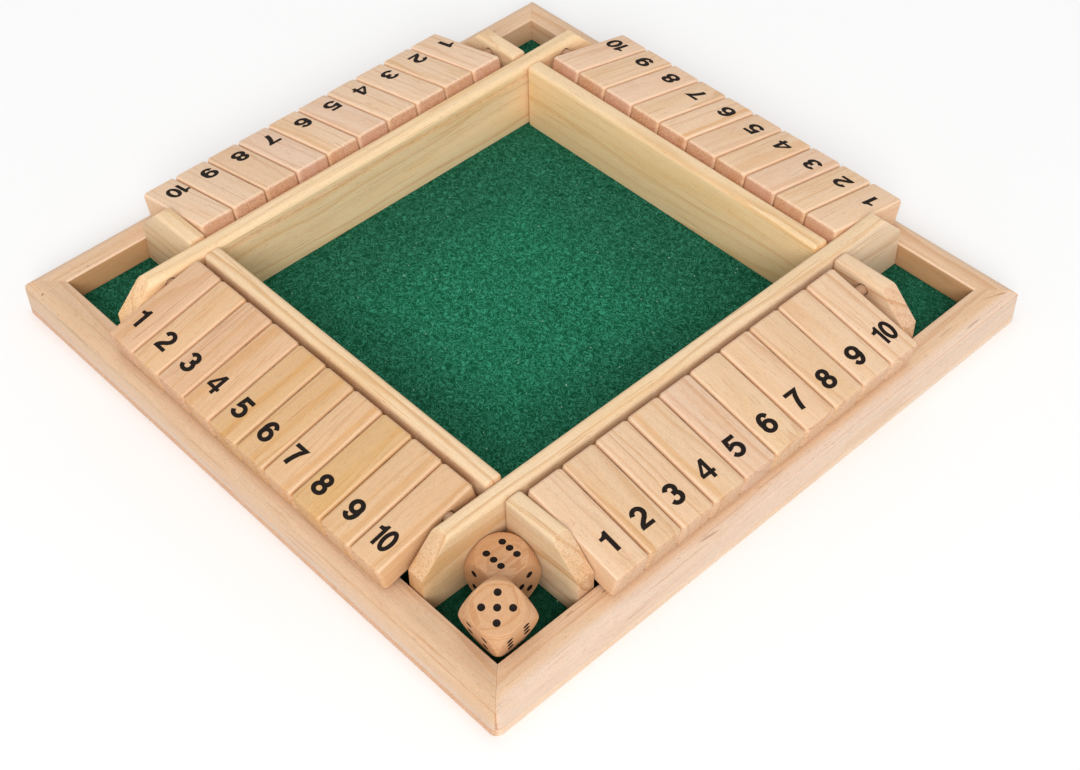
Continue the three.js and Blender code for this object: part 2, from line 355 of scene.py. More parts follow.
def join(pieces):
    """Joins pieces into the first of them."""
    alone(pieces[0])
    for piece in pieces[1:]:
        piece.select_set(True)
    if len(pieces) > 1:
        bpy.ops.object.join()
    return pieces[0]


def smooth(piece, angle=38):
    """Merges doubles, turns the faces outward and shades a piece smooth up to an angle in degrees."""
    pick(piece, "FACE", all_faces)
    bpy.ops.mesh.remove_doubles(threshold=1e-6)
    bpy.ops.mesh.select_all(action="SELECT")
    bpy.ops.mesh.normals_make_consistent(inside=False)
    leave_edit()
    bpy.ops.object.shade_smooth_by_angle(angle=math.radians(angle))
    return piece


def ease(piece, radius=EASE, segments=2, angle=40):
    """Takes the sharpness off edges harder than an angle, and shades the piece smooth."""
    limit = math.radians(angle)
    modify(piece, "BEVEL", width=radius, segments=segments, limit_method="ANGLE", angle_limit=limit)
    smooth(piece)


def copy_to(piece, name, place=STAY):
    """Copies a piece with a mesh of its own, turned and moved in that mesh."""
    twin = piece.copy()
    twin.data = piece.data.copy()
    twin.name = twin.data.name = name
    twin.data.transform(place)
    return link(twin)


def extent(piece):
    """Lowest and highest corner of a piece's mesh."""
    points = [point.co for point in piece.data.vertices]
    return tuple(Vector(ends(point[axis] for point in points) for axis in range(3)) for ends in (min, max))


def check_place(piece, node, slack=0.0004):
    """Stops if a piece isn't where its node is."""
    for mine, packed in zip(extent(piece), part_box(node)):
        if max(abs(one - other) for one, other in zip(mine, packed)) > slack:
            raise RuntimeError(f"{piece.name} isn't where {node} is: {mine} and {packed}")


def quarter(side):
    """Turn that carries the front's own frame to a side."""
    return Matrix.Rotation(SIDES.index(side) * math.pi / 2, 4, "Z")


def hand_over(piece, body, slot, *nodes):
    """Makes a finished piece ride on its body and stand for its nodes, which it hides. The slot is not used.
    """
    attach(piece, body)
    if nodes:
        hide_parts(*nodes)


# ---------------------------------------------------------------- grain


def write_field(piece, name, values):
    """Writes one number, or one vector, for each point of a piece."""
    if isinstance(values[0], float):
        piece.data.attributes.new(name, "FLOAT", "POINT").data.foreach_set("value", values)
    else:
        field = piece.data.attributes.new(name, "FLOAT_VECTOR", "POINT")
        field.data.foreach_set("vector", [number for value in values for number in value])


def give_grain(piece, along, seed, heart=(22, 60), tilt=0.02, flat=False, dome=0.0):
    """Places a piece in its log, in millimetres: Y runs with the fibre, and the heart is at X = Z = 0.

    heart is how far off the heart may lie, and tilt how far the fibre may run askew.
    The rings lie level in a flat piece, and dome bends them down to all sides.
    """
    draw = random.Random(seed)
    along = Vector(along).normalized()
    side = along.cross(Z).normalized()
    up = side.cross(along)
    turn = draw.uniform(0, 2 * math.pi)
    if flat:
        turn = math.pi / 2
    away = draw.uniform(*heart)
    lean = Vector((draw.uniform(-tilt, tilt), draw.uniform(-tilt, tilt)))
    start = draw.uniform(-500, 500)
    middle = sum(extent(piece), Vector()) / 2
    places, ends = [], []
    for point in piece.data.vertices:
        local = (point.co - middle) / MM
        run, right, rise = local.dot(along), local.dot(side), local.dot(up)
        right += run * lean.x
        rise += run * lean.y - dome * (run * run + right * right)
        places.append((
            right * math.cos(turn) - rise * math.sin(turn) + away,
            run + start,
            right * math.sin(turn) + rise * math.cos(turn),
        ))
        ends.append(abs(point.normal.dot(along)))
    write_field(piece, "grain", places)
    write_field(piece, "end", ends)


def give_tone(piece, light=0, warm=0, gold=0, lighter=(0, 0), richer=(0, 0)):
    """Sets how light, warm and golden a piece's wood is.

    lighter and richer say how much lighter and more golden its upright faces are, at the -X and the +X end.
    Their lightness is painted light and shade, and on tiles light also holds the row's painted light.
    """
    low, high = extent(piece)
    tones = []
    for point in piece.data.vertices:
        share = 1 - abs(point.normal.z)
        run = (point.co.x - low.x) / (high.x - low.x)
        # Upright faces get painted light where lighter is above 0 and painted shade where it is below
        painted_light, more_gold = (ends[0] + (ends[1] - ends[0]) * run for ends in (lighter, richer))
        tones.append((light + painted_light * share, warm, gold + more_gold * share))
    write_field(piece, "tone", tones)


# ---------------------------------------------------------------- finishes


def maths(operation, reflected=False):
    """A method that adds a Math node for a wire and what it is worked with."""

    def method(self, *others):
        values = (*others, self) if reflected else (self, *others)
        return self.finish.add("ShaderNodeMath", {"operation": operation}, dict(enumerate(values)))["Value"]

    return method


class Wire:
    """A node's output, used like a number in an expression."""

    def __init__(self, finish, socket):
        self.finish = finish
        self.socket = socket

    __add__ = __radd__ = maths("ADD")
    __sub__ = maths("SUBTRACT")
    __rsub__ = maths("SUBTRACT", reflected=True)
    __mul__ = __rmul__ = maths("MULTIPLY")
    __truediv__ = maths("DIVIDE")
    __rtruediv__ = maths("DIVIDE", reflected=True)
    __pow__ = maths("POWER")
    __rpow__ = maths("POWER", reflected=True)
    __abs__ = maths("ABSOLUTE")
    most = maths("MAXIMUM")
    part = maths("FRACT")
    floor = maths("FLOOR")

    def ramp(self, start, end):
        """0 before start and 1 past end, with soft ends. It falls where start is the larger."""
        settings = {"interpolation_type": "SMOOTHSTEP", "clamp": True}
        inputs = {"Value": self, "From Min": start, "From Max": end, "To Min": 0.0, "To Max": 1.0}
        return self.finish.add("ShaderNodeMapRange", settings, inputs)["Result"]


def colour(value):
    """A colour for a socket: a wire as it is, three numbers with full alpha."""
    return value if isinstance(value, Wire) else (*value, 1.0)


def times(tint, factors):
    """A tint times one factor for each of its three parts."""
    return tuple(part * factor for part, factor in zip(tint, factors))


class Finish:
    """A material and the nodes that make it."""

    def __init__(self, name):
        self.material = bpy.data.materials.new(name)
        self.material.use_nodes = True
        self.tree = self.material.node_tree
        self.shader = self.tree.nodes["Principled BSDF"]

    def add(self, kind, settings, inputs):
        """Adds a node: its settings first, then the values or links of its sockets. Gives its outputs."""
        node = self.tree.nodes.new(kind)
        for key, value in settings.items():
            setattr(node, key, value)
        named = {socket.identifier: socket for socket in node.inputs}
        for key, value in inputs.items():
            self.feed(named.get(key) or node.inputs[key], value)
        return {socket.identifier: Wire(self, socket) for socket in node.outputs}

    def feed(self, socket, value):
        """Links a wire to a socket, or sets the socket's value."""
        if isinstance(value, Wire):
            self.tree.links.new(value.socket, socket)
        else:
            socket.default_value = value

    def surface(self, **inputs):
        """Feeds the shader's own sockets, with their names' spaces written as _."""
        for key, value in inputs.items():
            self.feed(self.shader.inputs[key.replace("_", " ")], value)
        return self.material

    def field(self, name):
        """What write_field wrote."""
        return self.add("ShaderNodeAttribute", {"attribute_name": name, "attribute_type": "GEOMETRY"}, {})

    def split(self, vector):
        node = self.add("ShaderNodeSeparateXYZ", {}, {"Vector": vector})
        return node["X"], node["Y"], node["Z"]

    def parts(self, name):
        """The three parts of a vector field."""
        return self.split(self.field(name)["Vector"])

    def join(self, x, y, z):
        return self.add("ShaderNodeCombineXYZ", {}, {"X": x, "Y": y, "Z": z})["Vector"]

    def place_mm(self):
        """Where a point lies on the whole object, in millimetres."""
        spot = self.add("ShaderNodeTexCoord", {}, {})["Object"]
        return tuple(value * 1000 for value in self.split(spot))

    def noise(self, vector, detail=2.0, roughness=0.5, scale=1.0):
        inputs = {"Vector": vector, "Scale": scale, "Detail": detail, "Roughness": roughness}
        return self.add("ShaderNodeTexNoise", {}, inputs)["Fac"]

    def stretched(self, grain, across, along, detail=2.0, roughness=0.5):
        """Noise with one scale across the fibre and another along it."""
        x, y, z = grain
        return self.noise(self.join(x * across, y * along, z * across), detail, roughness)

    def mix(self, amount, one, other, how="MIX"):
        settings = {"data_type": "RGBA", "blend_type": how, "clamp_factor": True}
        inputs = {"Factor_Float": amount, "A_Color": colour(one), "B_Color": colour(other)}
        return self.add("ShaderNodeMix", settings, inputs)["Result_Color"]

    def layered(self, tone, tint, *layers):
        """Lays changed tints over a tone: each layer has its amount, and the tint's three factors."""
        for amount, factors in layers:
            tone = self.mix(amount, tone, times(tint, factors))
        return tone

    def shift(self, tone, hue, saturation, value):
        inputs = {"Hue": hue, "Saturation": saturation, "Value": value, "Fac": 1.0, "Color": tone}
        return self.add("ShaderNodeHueSaturation", {}, inputs)["Color"]

    def bump(self, height, strength, distance):
        inputs = {"Strength": strength, "Distance": distance, "Height": height}
        return self.add("ShaderNodeBump", {}, inputs)["Normal"]


def wood(name, tint, ring_mm, contrast, end_tint=(0.88, 0.72, 0.62), lines=0.0, dress=None):
    """Pine or a wood like it: rings round the heart, stretched fibre, flecks, end grain and fine bump.

    contrast is the rings' strength, lines that of long brown lines, and dress adds what one kind of piece has.
    """
    finish = Finish(name)
    grain = x, y, z = finish.parts("grain")
    light, warm, gold = finish.parts("tone")
    end = finish.field("end")["Fac"]

    wander = finish.stretched(grain, 0.06, 0.012) - 0.5
    ripple = finish.stretched(grain, 0.7, 0.03) - 0.5
    ring = ((x * x + z * z) ** 0.5 + wander * 9 + ripple * 0.7) / ring_mm
    step = ring.part()
    strength = finish.add("ShaderNodeTexWhiteNoise", {"noise_dimensions": "1D"}, {"W": ring.floor()})["Value"]
    late = step.ramp(0.45, 0.92) * step.ramp(1.0, 0.94) * (strength**2 * 0.9 + 0.1)

    fibre = finish.stretched(grain, 2.4, 0.05, 4.0, 0.65)
    thread = finish.stretched(grain, 6, 0.22, 3.0, 0.7)
    grit = finish.stretched(grain, 3.0, 1.6, 3.0, 0.75)
    cloud = finish.stretched(grain, 0.16, 0.022, 3.0)
    fleck = finish.stretched(grain, 4.2, 0.35, 1.0).ramp(0.68, 0.76)
    pore = finish.stretched(grain, 2.6, 0.4, 3.0, 0.7).ramp(0.47, 0.62)
    line = finish.noise(finish.join(x * 1.7 + 60, y * 0.03, z * 1.7), 1.0).ramp(0.64, 0.74)

    tone = finish.layered(
        tint,
        tint,
        (late * contrast, (0.76, 0.57, 0.39)),
        (cloud.ramp(0.5, 0.72) * 0.35, (0.9, 0.8, 0.64)),
        (fibre.ramp(0.54, 0.72) * 0.6, (0.8, 0.66, 0.5)),
        (thread.ramp(0.55, 0.7) * 0.6, (0.72, 0.55, 0.4)),
        (fleck * 0.55, (0.5, 0.36, 0.25)),
        (gold.most(0) * 0.5, (0.93, 0.76, 0.52)),
        (line * lines, (0.7, 0.5, 0.36)),
    )
    if dress:
        tone = dress(finish, tone, tint)
    tone = finish.mix(end.ramp(0.4, 0.8), tone, end_tint, "MULTIPLY")
    tone = finish.mix(end.ramp(0.5, 0.85) * pore * 0.7, tone, (0.62, 0.5, 0.42), "MULTIPLY")
    value = 1.06 + (fibre - 0.5) * 0.4 + (thread - 0.5) * 0.5 + (grit - 0.5) * 0.4 + light
    saturation = 1 + (cloud - 0.5) * 0.15 + gold * 0.12 - (warm * -0.06).most(0)
    height = fibre * 0.5 + thread * 0.6 + grit * 0.3 - late * 0.35 - fleck * 0.3
    return finish.surface(
        Base_Color=finish.shift(tone, 0.5 + warm * 0.008, saturation, value),
        Roughness=0.5 + late * -0.06 + (fibre - 0.5) * 0.16,
        Specular_IOR_Level=0.32,
        Normal=finish.bump(height, 0.22, 0.00012),
    )


def tile_dress(finish, tone, tint):
    """A tile's band and thin line, darker inner end, painted shade on its sides and a painted highlight on its
    top edges.
    """
    across, from_end, high = finish.parts("spot")
    band_at, band_width, band_force = finish.parts("band")
    line_at, line_reach, line_force = finish.parts("line")
    drift = (finish.stretched(finish.parts("grain"), 0.1, 0.05, 1.0) - 0.5) * 3
    band = (abs(across - band_at + drift) / band_width).ramp(1.0, 0.25) * band_force
    thin = abs(across - line_at + drift * 0.12).ramp(0.28, 0.08) * (from_end - line_reach).ramp(1.5, -1.5)
    half = (TILE_HIGH.x - TILE_LOW.x) / 2 / MM
    aside = abs(across)
    # Painted shade on the sides, where the tiles stand close together
    gap_shade = aside.ramp(half - 0.25, half - 0.03)
    # Painted highlight along the upper long edges and the top edge of the inner end
    edge_highlight = aside.ramp(half - 0.7, half - 0.45) * aside.ramp(half - 0.07, half - 0.3)
    end_highlight = from_end.ramp(0.75, 0.5) * from_end.ramp(0.1, 0.3)
    return finish.layered(
        tone,
        tint,
        (band * 0.75, (0.86, 0.66, 0.42)),
        (thin * line_force * 0.8, (0.62, 0.45, 0.33)),
        (gap_shade * 0.22, (0.86, 0.7, 0.5)),
        (from_end.ramp(0.4, 0.08) * 0.6, (0.76, 0.56, 0.46)),
        (edge_highlight.most(end_highlight) * high.ramp(2.5, 2.9) * 0.5, (1.16, 1.2, 1.3)),
    )


# Short dark marks on the rails: middle, direction, half length, half width and strength
RAIL_MARKS_MM = [
    ((-63.0, -102.1, 12.6), (1, 0), 1.9, 0.3, 0.8),
    ((-75.3, -101.0, 12.6), (1, 0), 1.7, 0.25, 0.6),
    ((-28.9, -108.4, 11.6), (1, -0.11), 5.4, 0.4, 0.55),
    ((-59.0, -109.9, 6.5), (1, 0), 5.0, 0.4, 0.4),
    ((109.9, -76.0, 9.0), (0, 1), 3.4, 0.45, 0.5),
    ((101.9, -105.7, 12.4), (0.94, -0.34), 4.8, 0.35, 0.75),
    ((87.9, -108.1, 11.7), (1, 0), 3.7, 0.35, 0.5),
    ((78.4, -105.0, 12.6), (1, 0), 3.8, 0.25, 0.4),
    ((-108.0, 100.6, 11.8), (1, 0), 0.6, 0.5, 0.9),
    ((-90.9, 100.9, 12.6), (1, 0), 0.45, 0.4, 0.75),
    ((84.6, 103.3, 12.6), (1, 0), 0.9, 0.4, 0.65),
]


def rail_dress(finish, tone, tint):
    """A rail's dark marks, painted light on its outer side, painted shade inside and a painted highlight on
    its inner edge.
    """
    x, y, z = finish.place_mm()
    marks = []
    for centre, way, half_length, half_width, force in RAIL_MARKS_MM:
        step_x, step_y, step_z = x - centre[0], y - centre[1], z - centre[2]
        run = step_x * way[0] + step_y * way[1]
        aside = step_y * way[0] - step_x * way[1]
        off = (aside * aside + step_z * step_z) ** 0.5
        mark = (abs(run) / half_length).ramp(1.0, 0.5) * (off / half_width).ramp(1.0, 0.3)
        marks.append((mark * force, (0.42, 0.27, 0.18)))
    tone = finish.layered(tone, tint, *marks)

    out = abs(x).most(abs(y)) + RAIL_HIGH.y / MM
    front = (y * -1 - abs(x)).ramp(0, 1)
    # Painted light: the front rail's outer side, and the lower outer side of the other rails, made paler
    pale = out.ramp(6.5, 9.0) * front.most(z.ramp(7.0, 3.5))
    tone = finish.mix(pale, tone, (0.97, 1.06, 1.24), "MULTIPLY")
    # Painted shade on the inner faces under the tiles, left out near the back right corner
    off_back_right = (x + y).ramp(165, 120)
    inner_face_shade = out.ramp(0.08, 0.02) * off_back_right
    # Painted highlight along the inner top edge
    inner_edge_highlight = out.ramp(0.75, 0.35) * z.ramp(11.9, 12.35)
    return finish.layered(
        tone, tint, (inner_face_shade * 0.75, (0.72, 0.56, 0.36)), (inner_edge_highlight * 0.7, (1.2, 1.25, 1.35))
    )


def felt_finish(name, tint):
    """Felt: curled fibres, darker patches, a few pale specks, a soft nap, and painted shade by the walls and
    in the pockets.
    """
    finish = Finish(name)
    x, y, z = finish.place_mm()
    at = finish.join(x, y, z)
    bent_x, bent_y = (
        value + (finish.noise(finish.join(x * 0.45, y * 0.45, layer), 1.0) - 0.5) * 3.2
        for value, layer in ((x, 3), (y, 47))
    )
    hairs = []
    for index, degrees in enumerate((12, 55, 101, 147, 78)):
        cos, sin = math.cos(math.radians(degrees)), math.sin(math.radians(degrees))
        run = bent_x * cos + bent_y * sin
        off = bent_y * cos - bent_x * sin
        hair = finish.noise(finish.join(run * 0.5, off * 2.8, index * 17.0), 1.0, 0.4)
        hairs.append(hair.ramp(0.585, 0.68))
    curl = hairs.pop() * 0.8
    for hair in hairs:
        curl = curl.most(hair)
    nap = finish.noise(at, 4.0, 0.75, scale=3.0)
    patch = finish.noise(at, 3.0, 0.6, scale=0.05)
    speck = finish.noise(at, 0.0, scale=1.1).ramp(0.86, 0.885)

    off_middle = abs(x).most(abs(y))
    # Painted shade in the corner pockets, deepest in the dice pocket
    pocket = off_middle.ramp(66, 71)
    dice_corner_shade = (x + y).ramp(-110, -150)
    tone = finish.layered(
        tint,
        tint,
        (patch.ramp(0.42, 0.66) * 0.4, (0.7, 0.72, 0.7)),
        (nap.ramp(0.52, 0.38) * 0.9, (0.12, 0.34, 0.28)),
        (curl * 0.85, (13, 2.9, 3.9)),
        (pocket * (dice_corner_shade * 0.45 + 0.25), (0.7, 0.35, 0.35)),
    )
    # Painted shade: the felt darker towards the walls
    tone = finish.mix(off_middle.ramp(20, 48), tone, (0.9, 0.76, 0.78), "MULTIPLY")
    return finish.surface(
        Base_Color=finish.mix(speck * 0.9, tone, (0.45, 0.62, 0.5)),
        Roughness=0.96 - curl * 0.04,
        Specular_IOR_Level=0.06,
        Sheen_Weight=0.03,
        Sheen_Roughness=0.5,
        Normal=finish.bump(nap * 0.8 + curl * 0.7, 0.4, 0.0004),
    )


def ink_finish(name, tint):
    """Matt print, a little uneven where the wood drank it."""
    finish = Finish(name)
    blot = finish.noise(finish.join(*finish.place_mm()), 3.0, 0.65, scale=1.6)
    return finish.surface(
        Base_Color=finish.mix(blot.ramp(0.45, 0.8) * 0.6, tint, times(tint, (2.2, 2.0, 1.8))),
        Roughness=0.7 + (blot - 0.5) * 0.2,
        Specular_IOR_Level=0.12,
        Normal=finish.bump(blot, 0.15, 0.00005),
    )


def floor_finish(name, tint):
    """Plain pale floor."""
    return Finish(name).surface(Base_Color=colour(tint), Roughness=0.9, Specular_IOR_Level=0.05)


def known(name, make, tint, *values, **options):
    """The material of that name, made the first time that it is asked for."""
    return bpy.data.materials.get(name) or make(name, tuple(tint), *values, **options)


def paint(piece, *materials):
    """Gives a piece its materials."""
    piece.data.materials.clear()
    for material in materials:
        piece.data.materials.append(material)


# ---------------------------------------------------------------- pieces


def finish_fixed(piece, node, slot, material, along, seed, tone=(), **grain):
    """Gives a piece of the fixed box its grain, tone and finish, and its body and node."""
    give_grain(piece, along, seed, **grain)
    give_tone(piece, *tone)
    paint(piece, material)
    hand_over(piece, "box", slot, node)


def finish_sides(master, name, slot, material, seed, tones, **grain):
    """Copies a piece of the front to all four sides, each with its own grain, and drops the master."""
    for number, side in enumerate(SIDES):
        piece = copy_to(master, f"{name}_{side}", quarter(side))
        along, tone = quarter(side) @ X, tones.get(side, ())
        finish_fixed(piece, f"{slot}_{side}", slot, material, along, seed + number, tone, **grain)
    bpy.data.objects.remove(master)


def base_and_felt(sizes, colours):
    """Base panel with rounded corners, and the felt that is glued on it."""
    panel = block("base_sheet", BASE_LOW, BASE_HIGH)
    round_edges(panel, sizes.corner_round, 6, upright)
    ease(panel)
    base_wood = known("base_wood", wood, colours.base_wood, 5.0, 0.35)
    finish_fixed(panel, "base_panel", "base", base_wood, X, 11, heart=(90, 140))

    felt = block("felt_cloth", FELT_LOW, FELT_HIGH)
    pick(felt, "FACE", lambda normal: normal.z > 0.9)
    bpy.ops.mesh.inset(thickness=0.0006, depth=0)
    bpy.ops.mesh.subdivide(number_cuts=70)
    bpy.ops.transform.vertex_random(offset=0.00006, uniform=0, normal=1, seed=5)
    leave_edit()
    smooth(felt)
    paint(felt, known("green_felt", felt_finish, colours.felt))
    hand_over(felt, "box", "felt", "felt_lining")


def frame_rails(sizes, colours):
    """Four mitred rails, rounded over outside and just eased inside."""
    half, opening, top = -RAIL_LOW.y, -RAIL_HIGH.y, RAIL_HIGH.z
    master = block("rail_blank", (-half, -half, RAIL_LOW.z), (half, -opening, top))
    round_edges(master, sizes.rail_outer_round, 10, on(y=-half, z=top))
    round_edges(master, sizes.rail_inner_round, 3, on(y=-opening, z=top))
    for hand in (-1, 1):
        slice_off(master, (hand * (half - MITRE_GAP), -half, 0), (hand, 1, 0))
    ring = block("rounded_frame", (-half, -half, -0.01), (half, half, 0.05))
    round_edges(ring, sizes.corner_round, 8, upright)
    combine(master, ring, "INTERSECT")
    ease(master, 0.00005, segments=1, angle=50)
    rail_wood = known("rail_wood", wood, colours.rail_wood, 3.4, 0.6, lines=0.5, dress=rail_dress)
    finish_sides(master, "frame_rail", "rail", rail_wood, 20, RAIL_TONES, heart=(35, 70), tilt=0.004)


def board_blank(name, start, end, clips, holes, sizes):
    """A board on edge along X, its middle plane at Y = 0, with slanted or rounded ends and blind holes."""
    half = (BOARD_HIGH.y - BOARD_LOW.y) / 2
    low, top = BOARD_LOW.z, BOARD_HIGH.z
    piece = block(name, (start, -half, low), (end, half, top))
    square_ends = [place for place, clipped in zip((start, end), clips) if not clipped]

    def along_top(*ends):
        return on(z=top)(*ends) and near(ends[0].y, ends[1].y)

    def round_end(*ends):
        return any(on(x=place)(*ends) for place in square_ends) and not on(z=low)(*ends)

    if square_ends:
        round_edges(piece, sizes.board_end_round, 6, lambda *ends: round_end(*ends) or along_top(*ends))
    else:
        round_edges(piece, sizes.board_round, 8, along_top)
    for place, clipped, hand in zip((start, end), clips, (-1, 1)):
        if clipped:
            slice_off(piece, (place - hand * sizes.board_clip, 0, top), (hand, 0, 1))
    ease(piece, angle=30)
    for place, inward in holes:
        mouth = (place, inward * (half + 0.002), ROD_Z)
        bottom = (place, inward * (half - sizes.rod_hole_depth), ROD_Z)
        combine(piece, bar("hole", mouth, bottom, sizes.rod_hole / 2, 40), "DIFFERENCE")
    return smooth(piece, 32)


def inner_boards(sizes, colours):
    """Two long boards, two tray walls and four short boards by the corner pockets."""
    middle = -(BOARD_LOW.y + BOARD_HIGH.y) / 2
    length_half = BOARD_HIGH.x
    drop = Matrix.Translation((0, -middle, 0))
    made = []

    long_board = board_blank(
        "long_blank", -length_half, length_half, (True, True), [(-ROD_OUT, 1), (ROD_OUT, 1)], sizes
    )
    for side in ("front", "back"):
        made.append((copy_to(long_board, f"long_board_{side}", quarter(side) @ drop), X, f"divider_{side}"))
    bpy.data.objects.remove(long_board)

    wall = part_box("tray_wall_right")[1].y
    tray_board = board_blank("tray_blank", -wall, wall, (False, False), [], sizes)
    for side in ("right", "left"):
        made.append((copy_to(tray_board, f"tray_board_{side}", quarter(side) @ drop), Y, f"tray_wall_{side}"))
    bpy.data.objects.remove(tray_board)

    low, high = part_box("bracket_front_right")
    for hand, ends in ((-1, ("left", "right")), (1, ("right", "left"))):
        short = board_blank("short_blank", -high.y, -low.y, (False, True), [(ROD_OUT, -hand)], sizes)
        place = Matrix.Translation((hand * middle, 0, 0)) @ Matrix.Rotation(-math.pi / 2, 4, "Z")
        for side, end in zip(("front", "back"), ends):
            corner = f"{side}_{end}"
            board = copy_to(short, f"corner_board_{corner}", quarter(side) @ place)
            made.append((board, Y, f"bracket_{corner}"))
        bpy.data.objects.remove(short)

    board_wood = known("board_wood", wood, colours.board_wood, 3.0, 0.85, (0.93, 0.84, 0.8), lines=0.6)
    for number, (board, along, node) in enumerate(made):
        check_place(board, node)
        # The upright faces' lightness in these tones is painted light and shade
        tone = BOARD_TONES_AND_FACE_LIGHT.get(node, OTHER_BOARD_TONE_AND_FACE_LIGHT)
        finish_fixed(board, node, "board", board_wood, along, 40 + number, tone, heart=(30, 60), tilt=0.006)


def dowel_rods(sizes, colours):
    """Four dowels with eased ends."""
    master = bar("rod_blank", (ROD_LOW.x, -ROD_OUT, ROD_Z), (ROD_HIGH.x, -ROD_OUT, ROD_Z), sizes.rod / 2)
    ease(master)
    rod_wood = known("rod_wood", wood, colours.rod_wood, 1.8, 0.5)
    finish_sides(master, "dowel", "rod", rod_wood, 60, {}, heart=(10, 30))


def each_tile():
    """Every tile's side, number and label, row by row."""
    for side in SIDES:
        for number in range(1, TILES_PER_ROW + 1):
            yield side, number, f"{side}_{number:02d}"


def tile_place(side, label, sizes):
    """Matrix from a tile's own frame, whose origin is on the rod, to its place.

    It slopes so far that its rounded lower end lies just above the rail.
    """
    under = sizes.tile_thickness - sizes.rod_below_top - sizes.tile_foot_round
    reach = sizes.tile_length - sizes.rod_from_end - sizes.tile_foot_round
    fall = ROD_Z - RAIL_HIGH.z - TILE_GAP - sizes.tile_foot_round
    slope = math.asin(fall / math.hypot(reach, under)) - math.atan2(under, reach)
    joint = JOINTS[f"flip_{label}"]
    return Matrix.Translation(joint["pos_m"]) @ quarter(side) @ Matrix.Rotation(slope, 4, "X")


def number_tiles(sizes, colours):
    """Forty tiles: one is shaped and bored, and copied with its own wood for each place."""
    half = (TILE_HIGH.x - TILE_LOW.x) / 2
    inner, outer = sizes.rod_from_end, sizes.rod_from_end - sizes.tile_length
    top, under = sizes.rod_below_top, sizes.rod_below_top - sizes.tile_thickness
    master = block("tile_blank", (-half, outer, under), (half, inner, top))
    for end in (inner, outer):
        round_edges(master, sizes.tile_corner_round, 5, on(y=end))
    ease(master, sizes.tile_round, segments=4)
    combine(master, bar("drill", (-0.01, 0, 0), (0.01, 0, 0), sizes.bore / 2), "DIFFERENCE")
    smooth(master, 32)
    tile_wood = known(
        "tile_wood", wood, colours.tile_wood, 2.3, 0.62, (0.92, 0.88, 0.88), lines=0.5, dress=tile_dress
    )
    for index, (side, number, label) in enumerate(each_tile()):
        light, warm, gold = TILE_TONES[side][number - 1]
        # The row's lightness is painted light and shade
        painted_light, more_gold = ROW_PAINTED_LIGHT_AND_GOLD[side]
        tile = copy_to(master, f"number_tile_{label}")
        give_grain(tile, Y, 101 + index, heart=(14, 60), tilt=0.05)
        give_tone(tile, light + painted_light, warm, gold + more_gold)
        points = [point.co for point in tile.data.vertices]
        write_field(tile, "spot", [(point.x / MM, (inner - point.y) / MM, point.z / MM) for point in points])
        write_field(tile, "band", [TILE_BANDS_MM[side].get(number, UNMARKED)] * len(points))
        write_field(tile, "line", [TILE_LINES_MM[side].get(number, UNMARKED)] * len(points))
        tile.data.transform(tile_place(side, label, sizes))
        check_place(tile, f"tile_{label}")
        paint(tile, tile_wood)
        hand_over(tile, f"flap_{label}", "tile", f"tile_{label}")
    bpy.data.objects.remove(master)


# ---------------------------------------------------------------- numbers

# Print, in millimetres for a number 6.8 high: the strokes' thickness where they run upright and level,
# half their depth, and each digit's strokes. A stroke is open, a ring, or filled: an outline and its holes.
DIGIT_HIGH = 6.8
UPRIGHT, LEVEL = 1.58, 1.3
HALF_DEPTH = 0.05

# Places across of the 1 alone and of two digits, and how much narrower two digits are
ONE_PLACE = 0.2
PAIR_PLACES, PAIR_NARROW = (-2.25, 1.45), 0.84


def arc(centre, radii, start, end, steps):
    """Points on an ellipse from one angle to another, in degrees."""
    angles = [math.radians(start + (end - start) * step / steps) for step in range(steps + 1)]
    (x, y), (wide, high) = centre, radii
    return [(x + wide * math.cos(angle), y + high * math.sin(angle)) for angle in angles]


def ellipse(centre, radii, steps):
    """Points all round an ellipse."""
    return arc(centre, radii, 0, 360, steps)[:-1]


DIGITS = {
    "0": [("ring", ellipse((0, 0), (1.72, 2.82), 36))],
    "1": [("filled", [
        (0.05, -3.4), (1.5, -3.4), (1.5, 3.4), (0.42, 3.4), (0.2, 2.9), (-0.3, 2.5), (-0.85, 2.32),
        (-1.6, 2.25), (-1.6, 1.22), (0.05, 1.22),
    ])],
    "2": [
        ("open", [
            *arc((0.0, 1.15), (1.7, 1.67), 172, -28, 18),
            (0.9, -0.35), (-0.2, -1.15), (-1.1, -1.95), (-1.62, -2.9),
        ]),
        ("filled", [(-2.35, -3.4), (2.35, -3.4), (2.35, -2.2), (-2.1, -2.2)]),
    ],
    "3": [
        ("open", [*arc((0.0, 1.42), (1.52, 1.4), 165, -75, 20), (-0.25, 0.08)]),
        ("open", [(-0.25, 0.28), *arc((0.0, -1.22), (1.75, 1.6), 78, -168, 22)]),
    ],
    "4": [("filled", [
        (0.35, -3.4), (1.65, -3.4), (1.65, -1.95), (2.45, -1.95), (2.45, -0.85), (1.65, -0.85),
        (1.65, 3.4), (0.35, 3.4), (-2.5, -0.8), (-2.5, -1.95), (0.35, -1.95),
    ], [(0.35, -0.85), (-1.35, -0.85), (0.35, 1.72)])],
    "5": [("open", [
        (2.1, 2.8), (-1.25, 2.8), (-1.55, 0.25), *arc((-0.1, -1.1), (1.85, 1.75), 128, -160, 22),
    ])],
    "6": [
        ("ring", ellipse((0.05, -1.15), (1.7, 1.68), 32)),
        ("open", [*arc((0.05, 0.35), (1.72, 2.5), 32, 200, 20), (-1.6, -1.1)]),
    ],
    "7": [("open", [(-2.3, 2.8), (1.75, 2.8), (0.75, 1.3), (0.05, -0.5), (-0.35, -2.1), (-0.5, -3.4)])],
    "8": [
        ("ring", ellipse((0, 1.5), (1.42, 1.35), 28)),
        ("ring", ellipse((0, -1.33), (1.72, 1.5), 30)),
    ],
}


